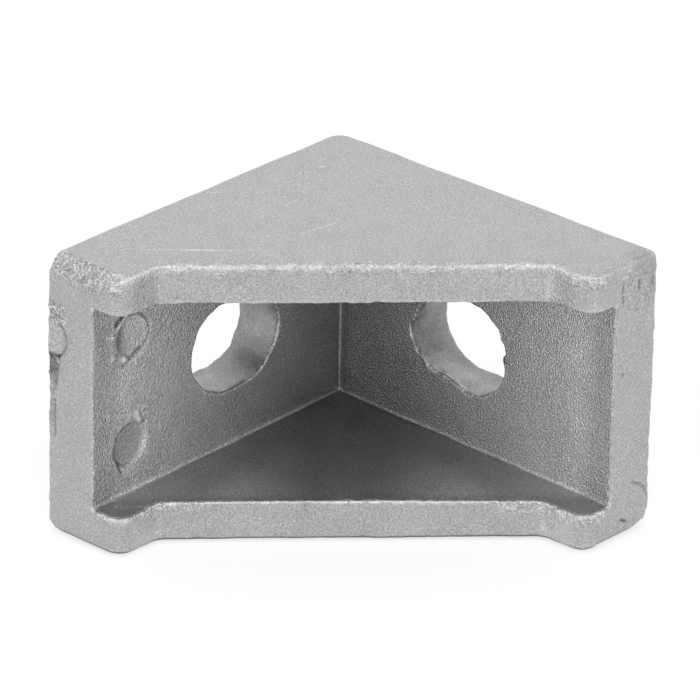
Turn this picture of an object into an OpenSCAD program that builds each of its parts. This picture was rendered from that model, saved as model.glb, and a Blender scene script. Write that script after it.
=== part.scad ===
// Corner bracket for slotted profiles: one die-cast piece with two legs at a right angle, closed on
// both sides by triangular gussets, and a bolt slot in each leg. Sizes are in millimetres.
// The origin is on the outer corner, where the planes of the two mounting faces meet, at mid-width.
// One leg runs along +X and the other along +Y. The gussets lie flat, one above and one below.

/* [Legs] */
// Length of each leg, from the outer corner to its end
leg_l = 28; // [26:0.5:40]
// Width of the bracket, over both gussets
width = 20; // [17:0.5:30]
// Thickness of each leg
leg_t = 4; // [3:0.1:4.6]

/* [Gussets] */
// Thickness of each gusset at its open edge
gusset_t = 2.8; // [1.8:0.1:3.2]
// Draft of the gussets' inner faces, in degrees
gusset_draft = 1.5; // [0.5:0.1:3]
// Height of the square toe at the end of each leg, from the mounting face
toe_h = 6.5; // [6:0.1:9]
// Length of the toe, from the end of the leg to where the sloping edge starts
toe_l = 3.65; // [2.5:0.05:6]

/* [Bolt slots] */
// Length of each slot at the inner face of the leg
slot_l = 8.2; // [7:0.1:11]
// Width of each slot at the inner face of the leg, for an M6 bolt
slot_w = 6.4; // [4.5:0.1:6.8]
// Distance from the outer corner to the middle of the slot
slot_pos = 14.4; // [12:0.1:17]
// Draft of the slots, in degrees, which makes them wider at the mounting face
slot_draft = 4; // [0.5:0.5:5]

/* [Rounding] */
// Radius of the outer corner, between the two mounting faces
corner_r = 1.2; // [0.8:0.1:3]
// Radius of the toe tips
toe_r = 1.3; // [0.8:0.1:1.8]
// Radius of the blend from the toe into the sloping edge
shoulder_r = 1.2; // [0.8:0.1:2.5]
// Radius round the outer edges of both gussets
edge_r = 0.5; // [0.2:0.05:0.7]
// Radius of the fillets inside the pocket
fold_r = 0.3; // [0.2:0.05:0.8]

/* [Casting marks] */
// Diameter of the two ejector marks inside the X leg
inner_pin_d = 2.9; // [2:0.1:4]
// Distance between those two marks
inner_pin_pitch = 7.9; // [6:0.1:9]
// Distance from the end of the X leg to those two marks
inner_pin_inset = 3.85; // [3:0.05:5]
// Diameter of the two ejector marks on the end of the Y leg
end_pin_d = 3.2; // [2:0.1:3.6]
// Distance between those two marks
end_pin_pitch = 15.6; // [12:0.1:16]
// Distance from the mounting face to those two marks
end_pin_inset = 1.7; // [1.5:0.1:3]
// Depth of all four ejector marks
pin_depth = 0.15; // [0.05:0.05:0.3]
// Height of the rough facet where the casting was broken off its gate, at the outer corner
gate_h = 1.2; // [0.6:0.1:2]
// Slant of that facet, in degrees from the end of the leg
gate_slant = 37; // [25:1:60]
// Angle by which that facet runs out towards the toe, in degrees
gate_runout = 3; // [0:0.5:6]

/* [Hidden] */
// Facets to a full circle, and how far a cut runs past the face that it opens
$fn = 96;
over = 1;
// How much larger than tangent the arcs are, as a share of the radius, so that they cross the straight
// edges in a clean line
bite = 0.004;
// How far the cuts of the edge rounding run on past each other, as a share of the arc's radius
run_on = 0.2;
// Colour of the bare casting
cast_grey = [0.70, 0.70, 0.70];

// Where the sloping edge meets the toe, along the leg
slope_start = leg_l - toe_l;
// The sloping edge lies on the line x + y = slope_sum
slope_sum = slope_start + toe_h;
// Side view of the bracket, counter-clockwise from the outer corner, each corner with its radius. The legs'
// ends are square to the mounting faces.
outline = [
    [0, 0, corner_r],
    [leg_l, 0, 0],
    [leg_l, toe_h, toe_r],
    [slope_start, toe_h, shoulder_r],
    [toe_h, slope_start, shoulder_r],
    [toe_h, leg_l, toe_r],
    [0, leg_l, 0]
];

// How steeply the pocket closes in along a leg, and across it, for the gussets' draft
fold_rise = atan(tan(gusset_draft) / sqrt(2));
fold_tilt = atan(sin(fold_rise));
// Half height that the drafted pocket would have at the outer corner
pocket_z0 = width / 2 - gusset_t - slope_sum * tan(fold_rise);
// Length that takes the pocket's sides clear of the part
reach = 2 * leg_l;

// Corner i of an outline and its radius, with i running round past either end of the list
function entry(o, i) = o[(i + len(o)) % len(o)];
function corner(o, i) = [entry(o, i)[0], entry(o, i)[1]];
function radius(o, i) = entry(o, i)[2];
// The edge that leads up to corner i, and its heading in degrees
function edge(o, i) = corner(o, i) - corner(o, i - 1);
function heading(o, i) = atan2(edge(o, i)[1], edge(o, i)[0]);
// Angle by which the outline turns at corner i, negative where the corner goes in
function turn(o, i) = atan2(cross(edge(o, i), edge(o, i + 1)), edge(o, i) * edge(o, i + 1));
// Distance from corner i to both ends of its arc
function setback(o, i) = radius(o, i) * tan(abs(turn(o, i)) / 2);
// Centre of that arc, in the frame of at_corner
function arc_centre(o, i) = [-setback(o, i), sign(turn(o, i)) * radius(o, i)];

// Moves a shape to corner i, and turns it so that X runs along the edge that leads up to the corner
module at_corner(o, i) {
    translate(corner(o, i)) rotate(heading(o, i)) children();
}

// The disc that the arc at corner i is part of, in the frame of at_corner
module arc_disc(o, i) {
    translate(arc_centre(o, i)) circle(radius(o, i) * (1 + bite));
}

// The patch between corner i and the arc's centre, in the frame of at_corner
module corner_patch(o, i) {
    t = turn(o, i);
    s = setback(o, i);
    polygon([
        sign(t) * over * [sin(t / 2), -cos(t / 2)],
        [-s, 0],
        arc_centre(o, i),
        s * [cos(t), sin(t)]
    ]);
}

// What rounding takes off outer corner i
module corner_waste(o, i) {
    at_corner(o, i) difference() {
        corner_patch(o, i);
        arc_disc(o, i);
    }
}

// An outline with its outer corners rounded and its inner ones filled by true arcs
module rounded_outline(o) {
    inner = [for (i = [0 : len(o) - 1]) if (radius(o, i) > 0 && turn(o, i) < 0) i];
    outer = [for (i = [0 : len(o) - 1]) if (radius(o, i) > 0 && turn(o, i) > 0) i];
    difference() {
        union() {
            polygon([for (i = [0 : len(o) - 1]) corner(o, i)]);
            for (i = inner) at_corner(o, i) corner_patch(o, i);
        }
        for (i = inner) at_corner(o, i) arc_disc(o, i);
        for (i = outer) corner_waste(o, i);
    }
}

// What an edge rounding takes away: the sharp edge is at the origin, x points out and y up
module edge_profile() {
    translate([-edge_r, -edge_r]) difference() {
        square(edge_r + over / 2);
        circle(edge_r * (1 + bite));
    }
}

// How far short of corner i a straight edge rounding stops: it runs on a little into an outer arc, and
// right past a square corner
function stop_short(o, i) =
    radius(o, i) == 0 ? -over : setback(o, i) - (turn(o, i) > 0 ? run_on * radius(o, i) : 0);

// Edge rounding along the straight stretch that leads up to corner i
module straight_rounding(o, i) {
    before = stop_short(o, i - 1);
    after = stop_short(o, i);
    at_corner(o, i) translate([-after, 0]) rotate([90, 0, -90])
        linear_extrude(norm(edge(o, i)) - before - after) edge_profile();
}

// Edge rounding round the arc at corner i, run on a little past both ends of an inner arc
module arc_rounding(o, i) {
    t = turn(o, i);
    past = t > 0 ? 0 : atan(run_on);
    at_corner(o, i) translate(arc_centre(o, i)) rotate(t > 0 ? -90 : 90 + t - past)
        rotate_extrude(angle = abs(t) + 2 * past) translate([radius(o, i) * (1 + bite), 0])
            mirror([t > 0 ? 0 : 1, 0]) edge_profile();
}

// All that the rounding takes off the rim of the upper gusset
module rim_rounding() {
    translate([0, 0, width / 2]) for (i = [0 : len(outline) - 1]) {
        straight_rounding(outline, i);
        if (radius(outline, i) > 0) arc_rounding(outline, i);
    }
}

// The casting before it is hollowed out
module blank() {
    difference() {
        linear_extrude(width, center = true) rounded_outline(outline);
        rim_rounding();
        mirror([0, 0, 1]) rim_rounding();
    }
}

// The space between the drafted inner faces of the gussets, which opens towards the sloping edge
module draft_wedge() {
    rise = reach * tan(gusset_draft);
    rotate(45) rotate([90, 0, 0]) linear_extrude(2 * reach, center = true)
        polygon([
            [0, -pocket_z0],
            [reach, -pocket_z0 - rise],
            [reach, pocket_z0 + rise],
            [0, pocket_z0]
        ]);
}

// The fillet along the fold between the X leg and the upper gusset
module fold_fillet() {
    section = [[reach, reach * tan(fold_tilt), 0], [0, 0, fold_r], [0, -reach, 0]];
    translate([0, leg_t, pocket_z0 + leg_t * tan(fold_rise)])
        rotate([0, -fold_rise, 0]) rotate([90, 0, 90])
            linear_extrude(reach) corner_waste(section, 1);
}

// The drafted pocket between the gussets
module pocket() {
    difference() {
        intersection() {
            linear_extrude(width, center = true)
                rounded_outline([
                    [leg_t, leg_t, fold_r],
                    [reach, leg_t, 0],
                    [reach, reach, 0],
                    [leg_t, reach, 0]
                ]);
            draft_wedge();
        }
        for (flip = [0, 1]) mirror([0, 0, flip]) {
            fold_fillet();
            mirror([1, -1, 0]) fold_fillet();
        }
    }
}

// The X leg's bolt slot, with its axis along Y and its wider end on the mounting face
module slot_cut() {
    flare = tan(slot_draft);
    half_out = slot_w / 2 + (leg_t + over) * flare;
    half_in = slot_w / 2 - over * flare;
    straight = slot_l - slot_w;
    depth = leg_t + 2 * over;
    translate([slot_pos, -over, 0]) {
        for (side = [-1, 1]) translate([side * straight / 2, 0, 0])
            rotate([-90, 0, 0]) cylinder(h = depth, r1 = half_out, r2 = half_in);
        rotate([90, 0, 90]) linear_extrude(straight, center = true)
            polygon([[0, -half_out], [depth, -half_in], [depth, half_in], [0, half_out]]);
    }
}

// One of a pair of round ejector marks in a face that looks along +Y, sunk by pin_depth
module pin_marks(d, pitch) {
    for (side = [-1, 1]) translate([0, -pin_depth, side * pitch / 2])
        rotate([-90, 0, 0]) cylinder(h = pin_depth + over, d = d);
}

// The facet that is broken off the upper edge of the X leg's end
module gate_cut() {
    translate([leg_l, 0, width / 2 - gate_h])
        rotate([gate_runout, 0, 0]) rotate([0, -gate_slant, 0])
            translate([0, -over, -over]) cube([2 * gate_h, toe_h + 2 * over, 3 * gate_h + over]);
}

// The whole casting
module bracket() {
    color(cast_grey) difference() {
        blank();
        pocket();
        slot_cut();
        mirror([1, -1, 0]) slot_cut();
        translate([leg_l - inner_pin_inset, leg_t, 0]) pin_marks(inner_pin_d, inner_pin_pitch);
        translate([end_pin_inset, leg_l, 0]) pin_marks(end_pin_d, end_pin_pitch);
        gate_cut();
    }
}

bracket();
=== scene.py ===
import math

import bpy
import numpy as np
from mathutils import Matrix, Vector


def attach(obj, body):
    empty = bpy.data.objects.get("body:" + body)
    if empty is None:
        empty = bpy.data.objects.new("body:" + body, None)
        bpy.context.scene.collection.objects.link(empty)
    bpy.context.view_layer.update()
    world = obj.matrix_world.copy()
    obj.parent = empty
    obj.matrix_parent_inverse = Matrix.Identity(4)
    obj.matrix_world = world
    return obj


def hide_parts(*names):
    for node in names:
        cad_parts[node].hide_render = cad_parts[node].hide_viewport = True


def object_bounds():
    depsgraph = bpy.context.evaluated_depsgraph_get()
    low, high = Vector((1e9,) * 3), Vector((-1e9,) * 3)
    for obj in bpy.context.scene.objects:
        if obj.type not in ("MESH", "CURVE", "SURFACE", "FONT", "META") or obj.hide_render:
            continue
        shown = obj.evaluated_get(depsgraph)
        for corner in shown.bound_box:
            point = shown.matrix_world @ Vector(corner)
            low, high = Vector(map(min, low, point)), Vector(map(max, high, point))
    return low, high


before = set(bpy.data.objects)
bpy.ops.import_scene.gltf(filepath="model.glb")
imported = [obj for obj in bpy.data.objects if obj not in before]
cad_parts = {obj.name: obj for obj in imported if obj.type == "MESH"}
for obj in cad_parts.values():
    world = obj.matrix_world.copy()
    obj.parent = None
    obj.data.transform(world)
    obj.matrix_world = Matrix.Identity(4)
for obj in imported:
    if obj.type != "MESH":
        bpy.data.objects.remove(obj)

# Sizes are in millimetres where nothing else is said, and the mesh is scaled to metres when it is done.
MM = 0.001
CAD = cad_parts["bracket"]
CAD_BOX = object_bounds()

# The length of a leg and half the bracket's width, from the frame
LEG_L = round(CAD_BOX[1][0] / MM, 2)
HALF_WIDTH = round(CAD_BOX[1][2] / MM, 2)
# What part.scad gives the other features: the legs' thickness, and the toes' height
LEG_T = 4.0
TOE_H = 6.5
# The gussets' sloping edge lies on the line x + y = SLOPE_SUM.
SLOPE_SUM = 30.85
# The inner faces of the gussets are at POCKET_Z0 + POCKET_RISE * (x + y).
POCKET_Z0 = 6.6287
POCKET_RISE = 0.018517
# The height of the lower rim of the pocket's opening
RIM_Z = -round(POCKET_Z0 + POCKET_RISE * SLOPE_SUM, 2)
# Each slot's middle, half its straight stretch, the radius of its ends at the leg's inner face, and how fast
# it widens towards the mounting face
SLOT_POS = 14.4
SLOT_STRAIGHT = 0.9
SLOT_R = 3.2
SLOT_DRAFT = math.tan(math.radians(4))
# The ejector marks on the end of the Y leg, above and below mid-width
END_PIN_X = 1.7
END_PIN_Z = 7.8
END_PIN_R = 1.6

# The middles of the ejector marks inside the X leg, along it and up, as they show in the photograph, and
# those of the half round pad and the rough patch on its end and of a small ring on the Y leg's, across and up
UPPER_MARK = (24.15, 4.05)
LOWER_MARK = (24.3, -3.80)
PAD = (0.15, 4.1)
ROUGH_PATCH = (0.75, 5.9)
SMALL_RING = (2.11, -7.22)

# How much more painted shade the pocket gets on the Y leg, and how coarse the X leg's grain is beside the Y
# leg's
Y_DEPTH_SHADE = 1.18
X_PEEL = 0.76

# The size of the mesh's voxels, how often their steps are smoothed, and the most triangles that are kept
VOXEL = 0.12
SMOOTH_ROUNDS = 5
MOST_TRIANGLES = 190000

# How each leg's slot departs from a true one. Each pair is an angle round the slot's middle, from the leg's
# end, and what is found there: how far the inner and the outer rim stand off, how bright the burr on the
# inner rim is, how much painted shade darkens the walls, and how much painted highlight lightens their turn
# into the leg's inner face.
X_SLOT = {
    "inner": ((-176, 0.01), (-164, -0.13), (-153, -0.33), (-137, -0.30), (-120, -0.31), (-102, -0.31),
              (-89, -0.25), (-73, -0.24), (-54, -0.36), (-35, -0.27), (-19, -0.14), (-7, 0.02), (0, 0.02),
              (12, 0.08), (27, 0.20), (49, 0.28), (69, 0.27), (90, 0.27), (156, 0.21), (173, 0.17)),
    "outer": ((-176, 0.24), (-164, 0.21), (-157, 0.11), (-150, 0.22), (-146, 0.28), (-141, 0.08),
              (-136, 0.04), (-130, -0.05), (-124, -0.11), (-116, -0.14), (-104, -0.21), (-90, -0.20),
              (-60, -0.12), (-20, 0.05), (0, 0.16), (40, 0.36), (90, 0.45), (140, 0.36), (177, 0.21)),
    "burr": ((-178, 0.1), (-168, 0.4), (-150, 0.8), (-122, 0.8), (-105, 0.25), (-60, 0.1), (90, 0.05)),
    "shade": ((-170, 0.45), (-155, 0.66), (-146, 1.0), (-138, 1.0), (-125, 0.68), (-112, 0.47), (-90, 0.37),
              (90, 0.44), (160, 0.44)),
    "turn": ((-150, 0.05), (-120, 1.0), (30, 1.0), (60, 0.05)),
}
Y_SLOT = {
    "inner": ((-174, -0.07), (-164, -0.18), (-155, -0.31), (-143, -0.60), (-129, -0.48), (-107, -0.68),
              (-87, -0.37), (-76, -0.05), (-58, 0.05), (-41, 0.06), (-27, 0.12), (-11, 0.18), (-5, 0.12),
              (-2, 0.0), (1.7, -0.12), (5.7, -0.16), (9, 0.14), (18, 0.17), (22, 0.06), (30, 0.22),
              (33, 0.30), (38, 0.17), (43, 0.12), (58, 0.24), (68, 0.18), (100, 0.1), (146, -0.40),
              (152, -0.39), (167, -0.31), (178, -0.08)),
    "outer": ((-170, -0.10), (-110, -0.06), (-90, -0.09), (-60, 0.0), (0, 0.0), (90, 0.05), (150, -0.05),
              (177, -0.13)),
    "burr": ((-178, 0.6), (-170, 1.0), (-152, 1.0), (-145, 0.3), (-110, 0.12), (-90, 0.1), (0, 0.1),
             (165, 0.1), (175, 0.4)),
    "shade": ((-178, 0.70), (-168, 0.88), (-155, 0.84), (-142, 0.48), (-125, 0.24), (-105, 0.28),
              (-90, 0.38), (90, 0.38), (150, 0.40), (170, 0.56)),
    "turn": ((-150, 0.05), (-130, 0.3), (-85, 0.3), (-68, 0.9), (30, 1.0), (60, 0.05)),
}
# How jagged the inner rims are, and how far from a rim the slot still shifts the metal
SLOT_JAG = (0.03, 0.06)
SLOT_REACH = (0.3, 1.0)

# Small pits in the skin, each at its own place
PITS = ((23.51, 7.34, 7.59), (3.12, 28.0, 1.95), (24.6, 6.3, -9.5))
PIT_R = 0.16
PIT_DEPTH = 0.12

# Fine lines in the surface, by name: how wide each is, and the places that it runs through. Places are
# along a leg, or across its end, and up.
LINES = {
    # On the inner face of the X leg
    "outer ridge": (0.14, (26.3, -0.95), (26.45, -2.0)),
    "inner ridge": (0.12, (24.9, 0.3), (24.85, -0.6)),
    "upper tail": (0.16, (23.3, 2.95), (25.0, 2.12)),
    "upper slit": (0.20, (25.62, 5.28), (24.95, 5.80)),
    "lower tail": (0.15, (25.5, -4.85), (25.15, -5.68)),
    "lower burr": (0.14, (23.55, -2.35), (23.72, -1.55)),
    "lower nick": (0.17, (23.35, -2.6), (23.0, -2.5)),
    # On the end of the X leg
    "scar side": (0.12, (0.60, -0.3), (0.58, -2.9)),
    "scar top": (0.20, (0.1, 2.9), (1.0, 3.0)),
    # On the end of the Y leg
    "torn side": (0.15, (3.34, 8.91), (3.39, 8.0), (3.3, 7.26)),
    "torn bottom": (0.13, (2.66, 6.58), (1.93, 6.3)),
    "inner slit": (0.15, (1.74, 8.35), (1.70, 7.75)),
    "outer slit": (0.15, (0.42, 8.3), (0.32, 7.65)),
    "arc": (0.14, (1.86, -6.26), (0.91, -6.67), (0.37, -7.19), (0.12, -7.87)),
    "notch": (0.13, (2.85, -8.69), (2.12, -9.03)),
    # On the rim of the Y leg's slot
    "tear": (0.17, (18.44, 0.70), (18.58, 0.10)),
}
# Small round spots, by name: each one's place, its radius and how soft its edge is
DOTS = {
    "upper burrs": ((26.02, 4.5, 0.22, 0.2), (25.9, 2.98, 0.26, 0.2), (24.8, 2.62, 0.20, 0.2)),
    "lower burr": ((23.45, -2.45, 0.16, 0.2),),
    "bare corner": ((3.0, 9.1, 0.7, 0.5),),
    "worn corner": ((3.0, 9.0, 0.55, 0.4),),
    "low spot": ((2.5, -9.2, 0.2, 0.2),),
    "pocket corner": ((4.2, -6.7, 0.5, 0.4),),
}

# Fillets in the pocket's folds turn tighter: a distance of FOLD_FROM from a face becomes FOLD_TO.
FOLD_FROM, FOLD_TO, FOLD_REACH = 0.35, 0.19, 0.8

# Fine scratches on the top face: where each starts and ends, and its width
SCRATCHES = (
    ((24.05, 3.25), (17.75, 10.16), 0.05),
    ((21.7, 5.89), (20.26, 7.37), 0.10),
    ((13.83, 0.77), (13.14, 1.47), 0.08),
    ((14.32, 9.63), (11.56, 10.19), 0.06),
    ((5.48, 3.21), (5.2, 3.5), 0.08),
    ((11.78, 5.86), (10.42, 5.87), 0.06),
)


def add_object(name, data):
    """A new object in the scene, which shows a mesh, a camera or a lamp."""
    obj = bpy.data.objects.new(name, data)
    bpy.context.scene.collection.objects.link(obj)
    return obj


# Reading, changing and writing meshes

def with_modifier(mesh, kind, **settings):
    """A new mesh, which is this one with one modifier applied."""
    obj = add_object("working", mesh)
    modifier = obj.modifiers.new("working", kind)
    for key, value in settings.items():
        setattr(modifier, key, value)
    depsgraph = bpy.context.evaluated_depsgraph_get()
    made = bpy.data.meshes.new_from_object(obj.evaluated_get(depsgraph))
    bpy.data.objects.remove(obj)
    bpy.data.meshes.remove(mesh)
    return made


def read_vectors(mesh, kind):
    """The vertices' places, with kind "co", or their normals, with kind "normal"."""
    vectors = np.empty(len(mesh.vertices) * 3)
    mesh.vertices.foreach_get(kind, vectors)
    return vectors.reshape(-1, 3)


def write_places(mesh, points):
    mesh.vertices.foreach_set("co", points.ravel())
    mesh.update()


def read_edges(mesh):
    edges = np.empty(len(mesh.edges) * 2, np.int32)
    mesh.edges.foreach_get("vertices", edges)
    return edges.reshape(-1, 2)


def neighbour_mean(values, edges):
    """The mean of each vertex's neighbours."""
    a, b = edges[:, 0], edges[:, 1]
    count = np.bincount(edges.ravel(), minlength=len(values))
    columns = []
    for column in np.atleast_2d(values.T):
        total = np.bincount(a, column[b], len(values)) + np.bincount(b, column[a], len(values))
        columns.append(total / np.maximum(count, 1))
    return np.array(columns).T.reshape(values.shape)


def smoothed(values, edges, rounds):
    """Each value drawn halfway to the mean of its neighbours, as many times as there are rounds."""
    for _ in range(rounds):
        values = values + 0.5 * (neighbour_mean(values, edges) - values)
    return values


def stand_out(points, normals, edges):
    """How far each vertex stands out from the mean of its neighbours."""
    return np.einsum("ij,ij->i", points - neighbour_mean(points, edges), normals)


# Forms that the casting's marks are put together from

def noise(points, size, seed):
    """Smooth noise from -1 to 1, with lumps about as wide as size."""
    cells = 4096
    draw = np.random.default_rng(seed)
    table, order = draw.uniform(-1, 1, cells), draw.permutation(cells)
    place = points / size
    cell = np.floor(place).astype(np.int64)
    part = place - cell
    weight = part ** 3 * (part * (part * 6 - 15) + 10)
    total = np.zeros(len(points))
    for dx in (0, 1):
        for dy in (0, 1):
            for dz in (0, 1):
                key = order[(cell[:, 0] + dx) % cells]
                key = order[(key + cell[:, 1] + dy) % cells]
                key = order[(key + cell[:, 2] + dz) % cells]
                share = [w if d else 1 - w for w, d in zip(weight.T, (dx, dy, dz))]
                total += table[key] * share[0] * share[1] * share[2]
    return total


def step(low, high, values):
    """Rises smoothly from 0 at low to 1 at high."""
    t = np.clip((values - low) / (high - low), 0, 1)
    return t * t * (3 - 2 * t)


def fall(low, high, values):
    """Falls smoothly from 1 at low to 0 at high."""
    return 1 - step(low, high, values)


def near(values, place, width):
    """1 at the place, and 0 further from it than width."""
    return fall(0.5 * width, width, np.abs(values - place))


def stroke(u, v, start, end, radius):
    """1 along the line between two places, fading to 0 at the radius."""
    start, end = np.array(start), np.array(end)
    run = end - start
    along = np.clip(((u - start[0]) * run[0] + (v - start[1]) * run[1]) / (run @ run), 0, 1)
    gap = np.hypot(u - start[0] - along * run[0], v - start[1] - along * run[1])
    return fall(0.3 * radius, radius, gap)


def line(u, v, name):
    """1 along one of the named lines, fading to 0 at its width."""
    width, *places = LINES[name]
    return sum(stroke(u, v, start, end, width) for start, end in zip(places, places[1:]))


def disc(u, v, radius, soft=0.2):
    """1 inside the radius, fading to 0 over the soft width."""
    return fall(radius - soft / 2, radius + soft / 2, np.hypot(u, v))


def dots(u, v, name):
    """1 inside the named dots, fading to 0 over their soft edges."""
    return sum(disc(u - across, v - up, radius, soft) for across, up, radius, soft in DOTS[name])


def ring(u, v, radius, width):
    """1 on the circle, and 0 further from it than the width."""
    return near(np.hypot(u, v), radius, width)


def toward(u, v, degrees, spread):
    """1 in one direction from the middle, and 0 further round from it than the spread."""
    off = (np.degrees(np.arctan2(v, u)) - degrees + 180) % 360 - 180
    return near(off, 0, spread)


def by_angle(angle, pairs):
    """What pairs of angle and value give at each angle, with the last pair joined to the first."""
    angles, values = zip(*pairs)
    return np.interp(angle, angles, values, period=360)


def at_end(along, through):
    """1 at the end of a leg, and 0 inside the pocket and further back."""
    return step(LEG_L - 1.4, LEG_L - 1, along) * fall(LEG_T + 1, LEG_T + 1.4, through)


class Slot:
    """Where each vertex lies round the slot of the X leg, axis 0, or the Y leg, axis 1."""

    def __init__(self, points, axis):
        self.axis, self.form = axis, (X_SLOT, Y_SLOT)[axis]
        self.along, self.through, self.z = points[:, axis], points[:, 1 - axis], points[:, 2]
        self.angle = np.degrees(np.arctan2(self.z, self.along - SLOT_POS))
        # The way out from the slot's axis, and how far out it is
        self.u = self.along - np.clip(self.along, SLOT_POS - SLOT_STRAIGHT, SLOT_POS + SLOT_STRAIGHT)
        self.radius = np.maximum(np.hypot(self.u, self.z), 0.1)
        # The share of the leg's thickness, up to its inner face, and 1 in the leg but 0 in the pocket
        self.share = np.clip(self.through / LEG_T, 0, 1)
        self.leg = fall(LEG_T + 0.4, LEG_T + 0.8, self.through)
        # How far outside the true slot it is, and how far from the inner rim
        self.off = self.radius - SLOT_R - (LEG_T - self.through) * SLOT_DRAFT
        self.inner = by_angle(self.angle, self.form["inner"])
        self.from_rim = np.abs(self.off - self.inner)


class Surface:
    """What the casting shows at each vertex: how far the metal stands out, and how it looks.

    Its marks are put together from forms that go from 0 to 1. A form's factor says how far it moves the
    metal, in millimetres, or how strongly it shows.
    """

    def __init__(self, points, normals):
        self.points, self.normals = points, normals
        x, y, z = points.T
        count = len(points)
        # How far each vertex moves along its normal, and along the three axes
        self.height = np.zeros(count)
        self.shift = np.zeros((count, 3))
        # Scars and painted shade, bare bright metal, slot walls with painted shade, and wear with painted
        # highlights
        self.scar_and_shade = np.zeros(count)
        self.bare = np.zeros(count)
        self.bore = np.zeros(count)
        self.wear_and_highlight = np.zeros(count)
        # Depth inside the pocket, for painted light near its opening and painted shade deep in it, more on
        # the Y leg
        depth = (SLOPE_SUM - x - y) / (SLOPE_SUM - 2 * LEG_T) * np.where(x < LEG_T + 0.4, Y_DEPTH_SHADE, 1)
        inside = step(LEG_T - 0.4, LEG_T - 0.1, np.minimum(x, y)) * fall(7.4, 7.9, np.abs(z))
        self.depth = inside * np.clip(depth, 0, 1)
        # Coarse grain on the legs' inner faces, which gets finer deep inside
        grainy = [near(through, LEG_T, 0.6) * step(0.5, 0.8, facing) * step(LEG_T + 0.4, LEG_T + 0.8, along)
                  for along, through, facing in ((x, y, normals[:, 1]), (y, x, normals[:, 0]))]
        self.peel = np.maximum(X_PEEL * grainy[0], grainy[1]) * (1 - 0.5 * step(0.35, 0.9, self.depth))
        # How far each vertex is behind the sloping edge, how far it is along its leg and up from it, and how
        # much it faces up
        self.front = SLOPE_SUM - x - y
        self.toe, self.low = np.maximum(x, y), np.minimum(x, y)
        self.upward = normals[:, 2]

        self.inner_marks()
        self.x_end()
        self.bent_leg()
        self.y_end()
        self.gate()
        for axis in (0, 1):
            slot = Slot(points, axis)
            self.slot_rims(slot)
            if axis == 1:
                self.slot_tears(slot)
            self.slot_walls(slot)
        self.front_edges()
        self.worn_and_lit_rims()
        self.toe_crumbs()
        self.toe_sides()
        self.folds()
        self.bottom_edges()
        self.pocket_floor()
        self.pits()

    def noise(self, size, seed):
        """Smooth noise from -1 to 1 over the casting."""
        return noise(self.points, size, seed)

    def patches(self, low, high, size, seed):
        """Patches of 1 with 0 between them, where noise lies above high and below low."""
        return step(low, high, self.noise(size, seed))

    def inner_marks(self):
        """The two ejector marks inside the X leg, which tip in a little at one side."""
        x, y, z = self.points.T
        wall = near(y, LEG_T - 0.1, 0.7) * step(5, 6, x)
        ridges = line(x, z, "outer ridge") + 0.7 * line(x, z, "inner ridge")
        move = self.upper_mark(x, z, wall) + self.lower_mark(x, z, wall) + 0.03 * ridges
        self.bare += wall * 0.15 * ridges
        self.shift[:, 1] += wall * move

    def upper_mark(self, x, z, wall):
        """The upper of them: deep towards the leg's end, and raised behind a groove at the far side."""
        u, v = x - UPPER_MARK[0], z - UPPER_MARK[1]
        sink = 0.06 * disc(u, v, 1.42, 0.1) * (2.2 * u / 1.45)
        groove = ring(u, v, 1.50, 0.14) * toward(u, v, 155, 115)
        shade = disc(u, v, 1.38) * step(0.5, 1.1, u)
        tail, slit, burrs = line(x, z, "upper tail"), line(x, z, "upper slit"), dots(x, z, "upper burrs")
        # The grooves, the tail, the slit and the mark's deep side are darkened with painted shade.
        self.scar_and_shade += wall * (0.55 * groove + 0.6 * tail + 1.8 * slit + 0.6 * shade)
        self.bare += 0.7 * wall * burrs
        return 0.09 * burrs - sink - 0.10 * groove - 0.14 * tail - 0.45 * slit

    def lower_mark(self, x, z, wall):
        """The lower of them: deep, with a faint slope at one side, and a burr and a nick at the top."""
        u, v = x - LOWER_MARK[0], z - LOWER_MARK[1]
        sink = 0.13 * disc(u, v, 1.45, 0.15)
        slope = ring(u, v, 1.40, 0.27) * toward(u, v, -135, 58)
        groove = ring(u, v, 1.52, 0.15) * toward(u, v, 15, 110)
        tail, nick = line(x, z, "lower tail"), line(x, z, "lower nick")
        burr = line(x, z, "lower burr") + 0.8 * dots(x, z, "lower burr")
        # The groove, the tail and the nick are darkened with painted shade.
        self.scar_and_shade += wall * (0.75 * groove + 0.75 * tail + 0.9 * nick)
        self.bare += wall * (0.05 * slope + 0.5 * burr)
        return 0.13 * burr + 0.05 * slope - sink - 0.12 * groove - 0.14 * tail - 0.22 * nick

    def x_end(self):
        """The X leg's end: half a round pad on its outer edge, rough metal above it, and a scar below."""
        x, y, z = self.points.T
        end = at_end(x, y)
        u, v = y - PAD[0], z - PAD[1]
        rim = ring(u, v, 1.46, 0.13) * toward(u, v, -20, 95)
        rough = disc(y - ROUGH_PATCH[0], (z - ROUGH_PATCH[1]) * 1.2, 0.95, 0.5)
        outline = line(y, z, "scar side") + line(y, z, "scar top")
        # The scar is widest and deepest at its top.
        width = np.interp(z, (-3.2, -0.5, 0.8, 2.9), (0.42, 0.50, 0.85, 1.15))
        scar_and_shade = fall(2.75, 3.05, z) * step(-3.4, -2.9, z) * fall(width - 0.15, width + 0.1, y)
        scar_and_shade *= np.interp(z, (-3.2, 0.2, 1.2), (0.25, 0.55, 1.0))
        lumps = self.noise(0.24, 11) + 0.4 * self.noise(0.8, 10)
        self.height += end * (0.02 * disc(u, v, 1.36, 0.12) - 0.09 * rim + 0.10 * rough * self.noise(0.35, 12)
                              - scar_and_shade * (0.05 - 0.09 * lumps) - 0.05 * outline)
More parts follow.
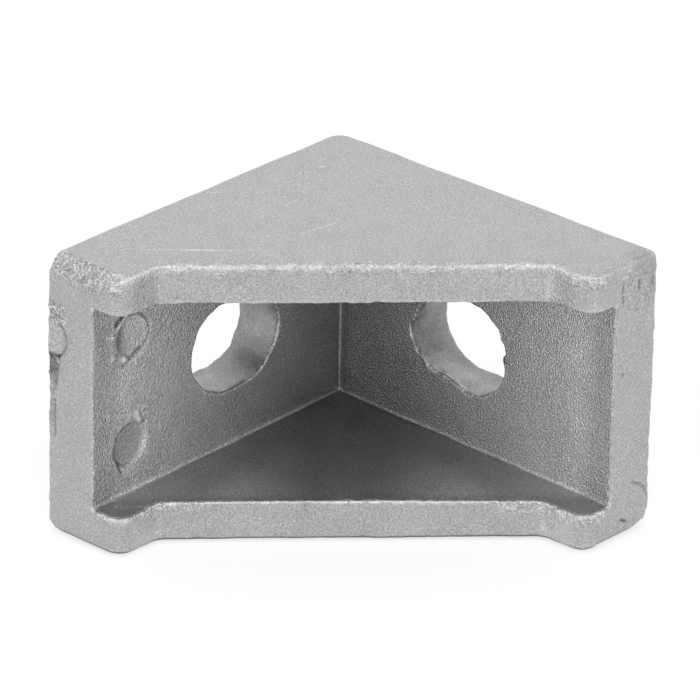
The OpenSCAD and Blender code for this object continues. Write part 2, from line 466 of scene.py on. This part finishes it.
        # The pad's groove and the scar's outline are darkened with painted shade, and the scar itself with
        # its own dark skin.
        self.scar_and_shade += end * (0.50 * rim + scar_and_shade * np.clip(0.35 + 0.6 * lumps, 0, 0.8) + 0.5 * outline)
        self.bare += end * (0.25 * disc(u, v, 1.36) + 0.8 * rough + scar_and_shade * step(0.1, 0.5, -lumps))
        self.wear_and_highlight += end * (0.12 * disc(u, v, 1.3) + 0.3 * rough * self.patches(-0.1, 0.4, 0.3, 44))

    def bent_leg(self):
        """The X leg bends out a little towards its end, and its lowest corner there is rounded."""
        x, y, z = self.points.T
        bend = step(LEG_L - 10, LEG_L - 3, x) * fall(LEG_T + 0.6, LEG_T + 1.6, y)
        corner = step(LEG_L - 3, LEG_L, x) * fall(0.1, 1.1, y) * fall(-HALF_WIDTH, 1 - HALF_WIDTH, z)
        self.shift[:, 1] -= bend * (0.03 + 0.04 * step(3, 4, y))
        self.shift[:, 1] += 0.28 * corner
        self.shift[:, 2] += 0.12 * corner

    def y_end(self):
        """The Y leg's end, with what shows of its two ejector marks."""
        x, y, z = self.points.T
        end = at_end(y, x)
        # The upper mark is rough, and sunk so little that only its torn edge shows.
        mark = disc(x - END_PIN_X, z - END_PIN_Z, END_PIN_R, 0.15)
        torn = (line(x, z, "torn side") + line(x, z, "torn bottom")) * self.patches(-0.5, 0.3, 0.3, 18)
        slits = line(x, z, "inner slit") + 0.4 * line(x, z, "outer slit")
        move = mark * (0.11 + 0.04 * self.noise(0.4, 13)) - 0.07 * torn - 0.15 * slits
        # The torn edge and the slits are darkened with painted shade.
        self.scar_and_shade += end * (0.40 * torn + 0.8 * slits + 0.06 * mark * self.patches(0.3, 0.7, 0.28, 19))
        self.scar_and_shade += end * 0.13 * step(HALF_WIDTH - 2, HALF_WIDTH - 1.5, z - 0.2 * x) * fall(1.8, 2.6, x)
        self.bare += end * (0.22 * mark + 0.25 * dots(x, z, "bare corner"))
        self.wear_and_highlight += end * 0.5 * dots(x, z, "worn corner") * self.patches(0.1, 0.4, 0.25, 43)
        # Of the lower mark an arc shows, with a notch under it.
        arc, notch = np.clip(line(x, z, "arc"), 0, 1), line(x, z, "notch")
        move += 0.12 * disc(x - END_PIN_X, z + END_PIN_Z, END_PIN_R, 0.15) - 0.08 * arc
        small = ring(x - SMALL_RING[0], z - SMALL_RING[1], 0.26, 0.14)
        move -= 0.03 * small + 0.12 * notch + 0.06 * fall(0.6 - HALF_WIDTH, 1.4 - HALF_WIDTH, z)
        # The arc and the notch are darkened with painted shade.
        self.scar_and_shade += end * (0.35 * arc + 0.65 * notch)
        self.bare += end * 0.6 * dots(x, z, "low spot")
        self.height += end * move
        # The lowest corner is rounded more than the rest.
        corner = step(LEG_L - 3, LEG_L, y) * fall(0, 1.8, x) * fall(0.4 - HALF_WIDTH, 1.8 - HALF_WIDTH, z)
        self.shift[:, 2] += 0.3 * corner

    def gate(self):
        """The rough facet where the casting was broken off its gate."""
        x, y, z = self.points.T
        slant = 0.8 * self.normals[:, 0] + 0.6 * self.upward
        facet = step(0.80, 0.93, slant) * step(LEG_L - 1.4, LEG_L - 1, x)
        facet *= step(HALF_WIDTH - 1.8, HALF_WIDTH - 1.4, z)
        grit = self.noise(0.26, 14)
        self.height += facet * (0.04 * grit - 0.05)
        self.scar_and_shade += facet * self.patches(0.3, 0.7, 0.2, 15) * (0.04 + 0.25 * fall(1, 2.5, y))
        self.bare += facet * (0.55 + 0.35 * step(0, 0.5, grit))
        self.wear_and_highlight += facet * (0.24 - 0.14 * step(1, 3, y) * fall(3.5, 5, y))
        # The broken edge runs on as bright crumbs along the top of the end face.
        crumbs = near(z, HALF_WIDTH - 1.25, 0.5) * step(LEG_L - 0.6, LEG_L - 0.3, x)
        crumbs *= fall(TOE_H - 0.3, TOE_H + 0.5, y)
        self.bare += 0.6 * crumbs * self.patches(-0.2, 0.4, 0.7, 16)
        self.height += crumbs * 0.03 * self.noise(0.35, 17)

    def slot_rims(self, slot):
        """The uneven rims of one leg's slot, with a fine bright burr along part of the inner one."""
        outer = by_angle(slot.angle, slot.form["outer"])
        jag = self.noise(0.5, 21 + slot.axis) + 0.5 * self.noise(0.28, 23 + slot.axis)
        grow = slot.inner * slot.share + outer * (1 - slot.share)
        grow += SLOT_JAG[slot.axis] * jag * step(0.6, 0.97, slot.share)
        grow *= slot.leg * fall(*SLOT_REACH, np.abs(slot.off))
        self.shift[:, slot.axis] += grow * slot.u / slot.radius
        self.shift[:, 2] += grow * slot.z / slot.radius
        slot.burr = by_angle(slot.angle, slot.form["burr"]) * slot.leg * near(slot.through, LEG_T, 0.25)
        slot.burr *= fall(0.1, 0.3, slot.from_rim)
        self.bare += 0.4 * slot.burr * self.patches(-0.4, 0.3, 0.5, 25 + slot.axis)
        self.wear_and_highlight += 0.8 * slot.burr * (0.3 + 0.7 * self.patches(-0.1, 0.4, 0.4, 30))

    def slot_tears(self, slot):
        """Torn metal smeared over the leg's face below the Y slot, and a dark tear at its rim's outer end."""
        smear = slot.leg * near(slot.through, LEG_T, 0.3) * near(slot.angle, -132, 30)
        smear *= fall(0.3, 0.8, slot.from_rim)
        self.bare += 0.5 * smear * self.patches(-0.3, 0.3, 0.3, 28)
        self.shift[:, 0] += 0.05 * smear * self.noise(0.4, 29)
        tear = line(slot.along, slot.z, "tear") * step(LEG_T - 0.8, LEG_T - 0.4, slot.through)
        self.scar_and_shade += slot.leg * tear

    def slot_walls(self, slot):
        """The smooth drawn walls of one leg's slot, darkened with painted shade, and their turn into the
        leg's inner face, lightened with a painted highlight.
        """
        facing = np.abs(self.normals[:, slot.axis] * slot.u + self.upward * slot.z) / slot.radius
        bore = slot.leg * step(0.4, 0.8, facing) * fall(0.9, 1.2, np.abs(slot.off))
        shade = (by_angle(slot.angle, slot.form["shade"]) - 0.5) * step(0.1, 0.6, slot.share)
        shade += 0.5 + 0.14 * self.noise(1.1, 27 + slot.axis)
        turn = step(0.15, 0.4, facing) * fall(0.88, 0.98, facing)
        turn *= step(LEG_T - 0.7, LEG_T - 0.4, slot.through)
        turn *= slot.leg * fall(0.35, 0.6, slot.from_rim) * by_angle(slot.angle, slot.form["turn"])
        # The walls get painted shade, and their turn a painted highlight.
        self.bore += bore * shade * (1 - turn)
        self.depth *= 1 - np.maximum(bore, 0.7 * turn)
        self.peel *= 1 - bore
        self.wear_and_highlight = self.wear_and_highlight * (1 - 0.6 * bore * (1 - slot.burr)) + 1.1 * turn * (1 - slot.burr)

    def front_edges(self):
        """Bare, crumbled metal along the front edges of both gussets."""
        z = self.points[:, 2]
        for edge, width in ((HALF_WIDTH - 0.4, 0.5), (RIM_Z + 0.05, 0.35)):
            lip = near(z, edge, width) * fall(0.5, 1.1, np.abs(self.front)) * (self.low > LEG_T)
            crumbs = step(0.0, 0.6, self.noise(0.4, 31) + 0.35 * self.noise(2.5, 32))
            self.bare += lip * crumbs * 0.4
            self.height += lip * 0.015 * self.noise(0.35, 33)

    def worn_and_lit_rims(self):
        """Both rims are worn bright in patches and lightened with a painted highlight where they turn, most
        of all round the toes.
        """
        x, y, z = self.points.T
        tilt = self.upward + 0.10 * step(-4, 6, y - x)
        upper = step(HALF_WIDTH - 0.8, HALF_WIDTH - 0.6, z) * fall(3.85, 6.85, self.front)
        upper *= 0.2 + 0.8 * step(LEG_T + 0.5, LEG_T + 2, self.low)
        upper *= step(0.42, 0.58, tilt) * fall(0.74, 0.88, tilt)
        lower = near(z, RIM_Z, 0.5) * (self.low > LEG_T + 0.4) * fall(1.85, 3.85, self.front)
        lower *= step(0.2, 0.4, self.upward) * fall(0.93, 0.99, self.upward)
        rims = np.maximum(upper, lower)
        toes = step(LEG_L - 6.5, LEG_L - 4.5, self.toe) * step(LEG_T - 0.5, LEG_T + 0.5, self.low)
        rims *= 0.63 + 0.37 * toes
        self.wear_and_highlight += rims * (0.6 + 0.4 * self.patches(-0.3, 0.4, 0.4, 37))
        self.bare += 0.3 * rims * self.patches(-0.1, 0.4, 0.35, 38)
        # The whole upper outline is lightened a little where it turns, as wear and painted highlight.
        outline = step(HALF_WIDTH - 0.6, HALF_WIDTH - 0.4, z)
        outline *= step(0.78, 0.9, self.upward) * fall(0.985, 0.998, self.upward)
        self.wear_and_highlight += 0.16 * outline

    def toe_crumbs(self):
        """Crumbs below the lower toes' rims, on the Y leg's upper toe, and at the pocket's corner there."""
        x, y, z = self.points.T
        on_y = y > x
        tips = near(z, np.where(on_y, RIM_Z - 0.25, RIM_Z - 0.15), np.where(on_y, 0.8, 0.5))
        tips *= step(LEG_L - 6.5, LEG_L - 5, self.toe) * (self.low > LEG_T + 0.2)
        upper_toe = near(z, HALF_WIDTH - 0.55, 0.5) * step(LEG_L - 3, LEG_L - 2, y) * (x > LEG_T + 1)
        corner = dots(x, z, "pocket corner") * step(LEG_L - 0.6, LEG_L - 0.3, y)
        tips = np.maximum(np.maximum(tips, upper_toe), corner)
        tips *= self.patches(-0.35, 0.2, 0.3, 40) * (1 - step(0.7, 0.9, self.upward) * (z < 0))
        self.bare += 0.75 * tips
        self.wear_and_highlight += 0.45 * tips
        self.height += 0.03 * tips * self.noise(0.25, 41)
        # The lower lip stands up a little along the X leg's half of the sloping edge.
        lip = near(z, RIM_Z, 0.6) * (self.low > LEG_T + 0.6) * fall(0.3, 1.2, np.abs(self.front))
        self.shift[:, 2] += 0.10 * lip * step(8, 16, x)

    def toe_sides(self):
        """The flat sides of the toes are grainy too, and lightened with painted light, more on the Y leg."""
        x, y, z = self.points.T
        side = near(self.low, TOE_H, 0.3) * step(7, 7.3, np.abs(z))
        side *= step(LEG_L - 4, LEG_L - 3.5, self.toe) * fall(LEG_L - 1.7, LEG_L - 0.8, self.toe)
        self.peel += 0.5 * side
        self.wear_and_highlight += side * np.where(y > x, 0.45, 0.3)

    def folds(self):
        """The folds between the legs and the gussets are grainy, and lightened with a painted highlight along
        their fillets.
        """
        x, y, z = self.points.T
        wall = POCKET_Z0 + (x + y) * POCKET_RISE
        fold = step(-0.2, -0.1, self.low - LEG_T) * fall(0.05, 0.17, self.low - LEG_T)
        fold *= near(np.abs(z), wall, 0.2)
        self.bare += 0.3 * fold * self.patches(-0.2, 0.4, 0.3, 39)
        self.wear_and_highlight += 0.6 * fold * (0.6 + 0.4 * self.patches(-0.3, 0.3, 0.35, 42))

    def bottom_edges(self):
        """The bottom edges get painted shade where they turn under, most of all in front."""
        z = self.points[:, 2]
        ahead = fall(0.8, 2.0, np.minimum(np.abs(self.front), LEG_L - self.toe))
        under = step(0.3, 0.6, -self.upward) * fall(0.93, 0.99, -self.upward) * (z < 0.7 - HALF_WIDTH)
        self.scar_and_shade += (0.15 + 0.65 * ahead) * under

    def pocket_floor(self):
        """The floor of the pocket is grainy towards its open edge, rough below the toes, and darkened with
        painted shade.
        """
        z = self.points[:, 2]
        rough = step(LEG_L - 7.5, LEG_L - 5, self.toe) * fall(LEG_L - 2.5, LEG_L - 1, self.toe)
        rough *= near(z, RIM_Z - 0.1, 0.5) * (self.low > LEG_T + 0.3) * fall(0.7, 0.9, self.upward)
        self.bare += 0.3 * rough * self.patches(0, 0.5, 0.35, 34)
        self.height += 0.02 * rough * self.noise(0.35, 35)
        floor = near(z, RIM_Z + 0.1, 0.8) * step(0.5, 0.8, self.upward) * (self.low > LEG_T + 0.2)
        self.scar_and_shade += 0.11 * floor
        self.bare += 0.06 * floor * fall(1.5, 5, self.front) * self.patches(-0.1, 0.5, 0.4, 36)

    def pits(self):
        """Small pits in the skin, darkened with painted shade."""
        x, y, z = self.points.T
        pits = sum(disc(np.hypot(x - px, y - py), z - pz, PIT_R, 0.12) for px, py, pz in PITS)
        self.height -= PIT_DEPTH * pits
        self.scar_and_shade += 0.35 * pits


# The casting: the CAD solid, remeshed finely enough to carry its own surface

def fold_in(a, b):
    """Draws both distances from a fold in, so that the fillet between its two faces turns tighter."""
    close = (a < FOLD_REACH) & (b < FOLD_REACH)
    before, after = (0, FOLD_FROM, FOLD_REACH), (0, FOLD_TO, FOLD_REACH)
    return [np.where(close, np.interp(d, before, after) - d, 0) for d in (a, b)]


def sharpen_folds(points):
    """Draws the points in towards the folds between the legs and the gussets."""
    x, y, z = points.T
    wall = POCKET_Z0 + (x + y) * POCKET_RISE
    inside = (np.minimum(x, y) > LEG_T - 0.2) & (np.abs(z) < wall + 0.2)
    leg_x = np.maximum(x - LEG_T, 0)
    leg_y = np.maximum(y - LEG_T, 0)
    gusset = np.maximum(wall - np.abs(z), 0)
    move = np.zeros_like(points)
    for a, b, axes in ((leg_x, leg_y, (0, 1)), (leg_x, gusset, (0, 2)), (leg_y, gusset, (1, 2))):
        for change, axis in zip(fold_in(a, b), axes):
            if axis == 2:
                change = -change * np.sign(z)
            move[:, axis] = np.where(np.abs(change) > np.abs(move[:, axis]), change, move[:, axis])
    return points + move * inside[:, None]


def cast_surface(mesh):
    """Gives the remeshed solid the casting's surface."""
    edges = read_edges(mesh)
    # The voxels' steps go first, and the edges are worn round a little with them.
    points = sharpen_folds(smoothed(read_vectors(mesh, "co"), edges, SMOOTH_ROUNDS))
    write_places(mesh, points)
    normals = read_vectors(mesh, "normal")
    surface = Surface(points, normals)
    # Uneven metal everywhere, in broad and finer lumps, and rougher along the outer edges and inside the legs
    rim = step(0.15, 0.6, smoothed(stand_out(points, normals, edges), edges, 2) / VOXEL ** 2)
    height = surface.height + 0.030 * noise(points, 4.5, 1) + 0.016 * noise(points, 1.7, 2)
    height += rim * (0.035 * noise(points, 0.55, 3) + 0.02 * noise(points, 0.3, 4))
    height += 0.010 * surface.peel * noise(points, 0.9, 5)
    write_places(mesh, points + normals * height[:, None] + surface.shift)


def edge_sheen_and_wear(points, normals, edges):
    """How much each vertex stands out for the length of its edges, which is where the skin wears bright and
    gets a painted highlight.
    """
    lengths = np.linalg.norm(points[edges[:, 0]] - points[edges[:, 1]], axis=1)
    total = np.bincount(edges.ravel(), np.repeat(lengths, 2), len(points))
    count = np.bincount(edges.ravel(), minlength=len(points))
    gap = total / np.maximum(count, 1)
    return step(0.2, 0.8, smoothed(stand_out(points, normals, edges) / gap ** 2, edges, 4))


def write_looks(mesh):
    """Writes what the material reads at each vertex."""
    points, normals = read_vectors(mesh, "co"), read_vectors(mesh, "normal")
    surface = Surface(points, normals)
    wear_and_sheen = 0.4 * edge_sheen_and_wear(points, normals, read_edges(mesh)) + surface.wear_and_highlight
    for name, values in (("scar_and_shade", surface.scar_and_shade), ("bare", surface.bare), ("peel", surface.peel),
                         ("bore", surface.bore), ("depth", surface.depth), ("wear_and_sheen", wear_and_sheen)):
        layer = mesh.attributes.new(name, "FLOAT", "POINT")
        layer.data.foreach_set("value", np.clip(values, 0, 1).astype(np.float32))


def casting_mesh():
    """The CAD solid with the casting's surface and looks, in metres."""
    scaled = CAD.data.copy()
    scaled.transform(Matrix.Scale(1 / MM, 4))
    dense = with_modifier(scaled, "REMESH", mode="VOXEL", voxel_size=VOXEL, adaptivity=0)
    cast_surface(dense)
    ratio = min(1, MOST_TRIANGLES / (2 * len(dense.polygons)))
    mesh = with_modifier(dense, "DECIMATE", decimate_type="COLLAPSE", ratio=ratio)
    write_looks(mesh)
    mesh.transform(Matrix.Scale(MM, 4))
    mesh.polygons.foreach_set("use_smooth", np.ones(len(mesh.polygons), bool))
    return mesh


# The materials

class Nodes:
    """Short names for making and joining the nodes of a material or of the world."""

    def __init__(self, owner):
        owner.use_nodes = True
        self.owner, self.tree = owner, owner.node_tree
        self.tree.nodes.clear()

    def add(self, kind, inputs=(), **settings):
        """Makes a node, with each input joined to a socket or set to a value."""
        node = self.tree.nodes.new(kind)
        for key, value in settings.items():
            setattr(node, key, value)
        for key, value in dict(inputs).items():
            if isinstance(value, bpy.types.NodeSocket):
                self.tree.links.new(value, node.inputs[key])
            else:
                node.inputs[key].default_value = value
        return node

    def noise(self, where, scale, detail, rough):
        inputs = {"Vector": where, "Scale": scale, "Detail": detail, "Roughness": rough}
        return self.add("ShaderNodeTexNoise", inputs).outputs["Fac"]

    def spread(self, value, low, high, out_low, out_high):
        """Takes low to high, and everything past them, to the two values given out."""
        inputs = {"Value": value, "From Min": low, "From Max": high, "To Min": out_low, "To Max": out_high}
        return self.add("ShaderNodeMapRange", inputs).outputs["Result"]

    def maths(self, operation, a, b):
        return self.add("ShaderNodeMath", {0: a, 1: b}, operation=operation).outputs[0]

    def plus(self, a, b):
        return self.maths("ADD", a, b)

    def minus(self, a, b):
        return self.maths("SUBTRACT", a, b)

    def times(self, first, *others):
        for other in others:
            first = self.maths("MULTIPLY", first, other)
        return first

    def raised(self, value, gain, base):
        """The base, raised by the value times the gain."""
        return self.plus(self.times(value, gain), base)

    def attribute(self, name):
        return self.add("ShaderNodeAttribute", attribute_name=name).outputs["Fac"]

    def vector(self, operation, inputs):
        return self.add("ShaderNodeVectorMath", inputs, operation=operation).outputs

    def scratch(self, where, start, end, width):
        """1 along a straight scratch on the top face, fading out over its width."""
        start, end = (Vector((*place, HALF_WIDTH)) * MM for place in (start, end))
        run = end - start
        offset = self.vector("SUBTRACT", {0: where, 1: start})[0]
        share = self.vector("DOT_PRODUCT", {0: offset, 1: run / run.length_squared})["Value"]
        nearest = self.vector("SCALE", {0: run, "Scale": self.spread(share, 0, 1, 0, 1)})[0]
        gap = self.vector("DISTANCE", {0: offset, 1: nearest})["Value"]
        return self.spread(gap, 0, width * MM, 1, 0)

    def seen(self):
        """1 for what the camera sees directly, through clear things or as a sharp reflection, else 0."""
        rays = self.add("ShaderNodeLightPath").outputs
        either = self.maths("MAXIMUM", rays["Is Camera Ray"], rays["Is Transmission Ray"])
        return self.maths("MAXIMUM", either, rays["Is Glossy Ray"])


# How many lumps per metre the metal's sharp grain, its softer grain and its cloudy patches have
SHARP, SOFT, CLOUDY = 8000, 8200, 420
# The greys and the roughnesses that the patches range between
GREYS = (0.404, 0.450)
ROUGHNESSES = (0.40, 0.46)
# How much lighter flecks, worn edges with their painted highlights, and scratches make the grey
FLECK, WORN_AND_LIT, SCRATCH = 0.10, 0.46, 0.42
# How strongly the sharp grain and the specks ripple the grey: the gain from an attribute, and the base
GRAIN_RIPPLE, SPECK_RIPPLE = (0.35, 1.4), (0.8, 0.10)
# How high the relief of the soft and the sharp grain is, in millimetres, as a gain and a base, and that of
# the specks on bare metal
SOFT_RELIEF, SHARP_RELIEF, SPECK_RELIEF = (0.17, 0.015), (0.11, 0.025), 0.05
# How much rougher scars are
SCAR_ROUGHNESS = 0.2
# What the grey is multiplied by where an attribute, which goes from low to high, is high
# Apart from the grain and the scars' own dark skin, these paint shade and light: in marks, deep in the
# pocket, on slot walls, and lighter near the opening
SHADES = (("scar_and_shade", 0, 1, 0.22), ("depth", 0, 0.08, 1.34), ("depth", 0.09, 1, 0.48), ("peel", 0, 1, 1.06),
          ("bore", 0, 1, 0.28))
# The grey of the paper, how much light it adds where it is seen, and the share of their white that the
# surroundings light the scene with
PAPER_GREY, PAPER_GLOW, SKY_LIGHT = 0.9, 0.53, 0.5


def cast_aluminium():
    """Bare cast aluminium, dull and grainy."""
    cast = Nodes(bpy.data.materials.new("cast_aluminium"))
    look = {name: cast.attribute(name) for name in ("scar_and_shade", "bare", "peel", "bore", "depth", "wear_and_sheen")}
    bare, peel = look["bare"], look["peel"]
    where = cast.add("ShaderNodeTexCoord").outputs["Object"]
    sharp = cast.noise(where, SHARP, 2.0, 0.6)
    soft = cast.noise(where, SOFT, 1.5, 0.5)
    cloudy = cast.noise(where, CLOUDY, 4.0, 0.55)
    cells = cast.add("ShaderNodeTexVoronoi", {"Vector": where, "Scale": SHARP})
    speck = cast.add("ShaderNodeSeparateColor", {"Color": cells.outputs["Color"]}).outputs[0]

    # Colour: an even grey, rippled by its grain, with bright flecks, worn edges with painted highlights, and
    # scratches
    ripple = cast.plus(cast.times(cast.minus(sharp, 0.5), cast.raised(peel, *GRAIN_RIPPLE)),
                       cast.times(cast.minus(speck, 0.5), cast.raised(bare, *SPECK_RIPPLE)))
    tone = cast.times(cast.spread(cloudy, 0.3, 0.7, *GREYS), cast.plus(ripple, 1.0))
    # The brightest specks are flecks, and bare metal has more of them.
    flecks = cast.spread(cast.plus(speck, cast.times(bare, 0.35)), 0.92, 1.02, 0, 1)
    tone = cast.plus(tone, cast.times(flecks, FLECK))
    tone = cast.plus(tone, cast.times(look["wear_and_sheen"], soft, WORN_AND_LIT))
    broken = cast.spread(soft, 0.38, 0.6, 0.15, 1)
    for start, end, width in SCRATCHES:
        tone = cast.plus(tone, cast.times(cast.scratch(where, start, end, width), broken, SCRATCH))
    # The attributes multiply in painted shade and light, and the scars' own darkness.
    for name, low, high, factor in SHADES:
        tone = cast.times(tone, cast.spread(look[name], low, high, 1, factor))
    colour = cast.add("ShaderNodeCombineColor", {"Red": tone, "Green": tone, "Blue": tone}).outputs[0]

    # Relief: a sandy grain, much stronger inside the legs and on bare, broken metal
    relief = cast.times(soft, cast.raised(peel, *SOFT_RELIEF))
    relief = cast.plus(relief, cast.times(sharp, cast.raised(bare, *SHARP_RELIEF)))
    relief = cast.plus(relief, cast.times(speck, cast.times(bare, SPECK_RELIEF)))
    bump = cast.add("ShaderNodeBump", {"Strength": 1.0, "Distance": MM, "Height": relief}).outputs[0]
    rough = cast.plus(cast.spread(cloudy, 0.3, 0.7, *ROUGHNESSES), cast.times(look["scar_and_shade"], SCAR_ROUGHNESS))
    shader = cast.add("ShaderNodeBsdfPrincipled",
                      {"Base Color": colour, "Metallic": 1.0, "Roughness": rough, "Normal": bump})
    cast.add("ShaderNodeOutputMaterial", {"Surface": shader.outputs[0]})
    return cast.owner


def white_paper():
    """White paper that shades a little where the casting stands on it, and is pure white elsewhere."""
    paper = Nodes(bpy.data.materials.new("paper"))
    matte = paper.add("ShaderNodeBsdfDiffuse", {"Color": (PAPER_GREY, PAPER_GREY, PAPER_GREY, 1)})
    strength = paper.times(paper.seen(), PAPER_GLOW)
    glow = paper.add("ShaderNodeEmission", {"Color": (1, 1, 1, 1), "Strength": strength})
    both = paper.add("ShaderNodeAddShader", {0: matte.outputs[0], 1: glow.outputs[0]})
    paper.add("ShaderNodeOutputMaterial", {"Surface": both.outputs[0]})
    return paper.owner


def studio():
    """White surroundings that light the scene less than they show."""
    sky = Nodes(bpy.data.worlds.new("studio"))
    strength = sky.spread(sky.seen(), 0, 1, SKY_LIGHT, 1)
    white = sky.add("ShaderNodeBackground", {"Color": (1, 1, 1, 1), "Strength": strength})
    sky.add("ShaderNodeOutputWorld", {"Surface": white.outputs[0]})
    return sky.owner


cast_mesh = casting_mesh()
cast_mesh.materials.clear()
cast_mesh.materials.append(cast_aluminium())
casting = add_object("casting", cast_mesh)
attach(casting, "root")
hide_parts("bracket")


# The camera, fitted to the photograph's outlines

AZIMUTH, ELEVATION, ROLL = math.radians(41.6608), math.radians(25.2999), math.radians(1.0662)
# The place that it turns round, how far it is from there, and how far it is then moved right and up
AIM = Vector((9.0, 9.0, 0.0))
DISTANCE = 440.415
SHIFT_RIGHT, SHIFT_UP = 0.2787, -0.3953
# The focal length and the width of the picture in the photograph's pixels, and the width of the sensor
FOCAL_PX, PHOTO_PX, SENSOR = 6630.81, 700, 36
# The nearest and the furthest that the camera shows, in metres
CLIP_START, CLIP_END = 0.01, 20

back = Vector((math.cos(AZIMUTH) * math.cos(ELEVATION), math.sin(AZIMUTH) * math.cos(ELEVATION),
               math.sin(ELEVATION)))
level = Vector((0, 0, 1)).cross(back).normalized()
upright = back.cross(level)
right = math.cos(ROLL) * level + math.sin(ROLL) * upright
up = math.cos(ROLL) * upright - math.sin(ROLL) * level
eye = AIM + SHIFT_RIGHT * right + SHIFT_UP * up + DISTANCE * back

camera_data = bpy.data.cameras.new("camera")
camera_data.sensor_width = SENSOR
camera_data.lens = FOCAL_PX * SENSOR / PHOTO_PX
camera_data.clip_start, camera_data.clip_end = CLIP_START, CLIP_END
camera = add_object("camera", camera_data)
camera.matrix_world = Matrix.Translation(eye * MM) @ Matrix((right, up, back)).transposed().to_4x4()
bpy.context.scene.camera = camera


# The floor, which the casting lies on, the surroundings and the lamps

# Half the floor's side, the place that the lamps face, and the side of each lamp
FLOOR_HALF = 1500
LAMP_AIM = Vector((10, 10, 0))
LAMP_SIZE = 300
# Each lamp's name, place and power in watts
LAMPS = (
    ("front", (380, 300, 180), 0.38),
    ("left", (420, -120, 200), 0.08),
    ("right", (-120, 420, 200), 0.13),
    ("behind", (-330, -290, 230), 0.075),
)

lowest = min(vertex.co.z for vertex in cast_mesh.vertices)
corners = [(side_x * FLOOR_HALF * MM, side_y * FLOOR_HALF * MM, lowest)
           for side_x, side_y in ((-1, -1), (1, -1), (1, 1), (-1, 1))]
floor_mesh = bpy.data.meshes.new("floor")
floor_mesh.from_pydata(corners, [], [(0, 1, 2, 3)])
floor_mesh.materials.append(white_paper())
floor = add_object("floor", floor_mesh)
bpy.context.scene.world = studio()

for name, place, power in LAMPS:
    lamp = bpy.data.lights.new(name, "AREA")
    lamp.size = LAMP_SIZE * MM
    lamp.energy = power
    softbox = add_object(name, lamp)
    softbox.location = Vector(place) * MM
    softbox.rotation_mode = "QUATERNION"
    softbox.rotation_quaternion = (Vector(place) - LAMP_AIM).to_track_quat("Z", "Y")

bpy.context.scene.view_settings.view_transform = "Standard"
